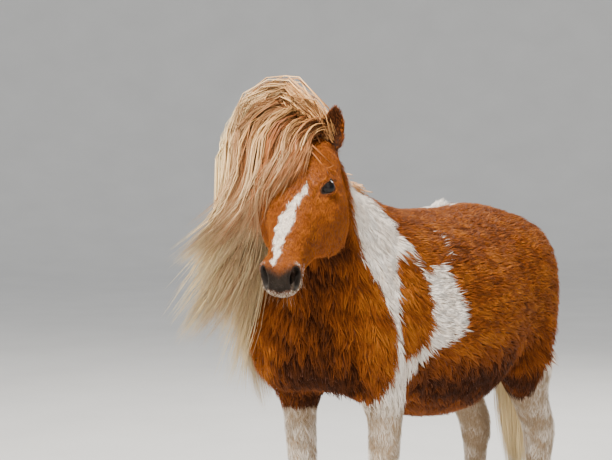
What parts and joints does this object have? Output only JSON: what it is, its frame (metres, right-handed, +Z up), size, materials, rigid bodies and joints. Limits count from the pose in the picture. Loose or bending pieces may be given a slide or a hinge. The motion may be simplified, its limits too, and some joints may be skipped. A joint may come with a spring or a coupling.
{
  "type": "shetland pony",
  "caption": "Standing pony with a deep round body, short legs and a long windblown mane, forelock and tail.",
  "frame": {"origin": "on the floor, under the middle of the pony's length and width", "axes": "+Z up, the pony faces -Y, its left side is +X"},
  "size_m": [0.4954, 1.447, 1.2964],
  "materials": {
    "coat": "long winter coat, chestnut with white patches",
    "white_coat": "long white winter coat",
    "mane_hair": "long flaxen hair with chestnut roots",
    "eye": "wet, dark brown",
    "hoof": "horn, dull"
  },
  "bodies": {
    "root": {"torso": "coat", "neck": "coat", "head": "coat", "left_ear": "coat", "right_ear": "coat", "left_eye": "eye", "right_eye": "eye", "left_foreleg": "white_coat", "right_foreleg": "white_coat", "left_hind_leg": "white_coat", "right_hind_leg": "white_coat", "left_fore_hoof": "hoof", "right_fore_hoof": "hoof", "left_hind_hoof": "hoof", "right_hind_hoof": "hoof", "mane": "mane_hair", "forelock": "mane_hair", "tail": "mane_hair"}
  },
  "joints": []
}
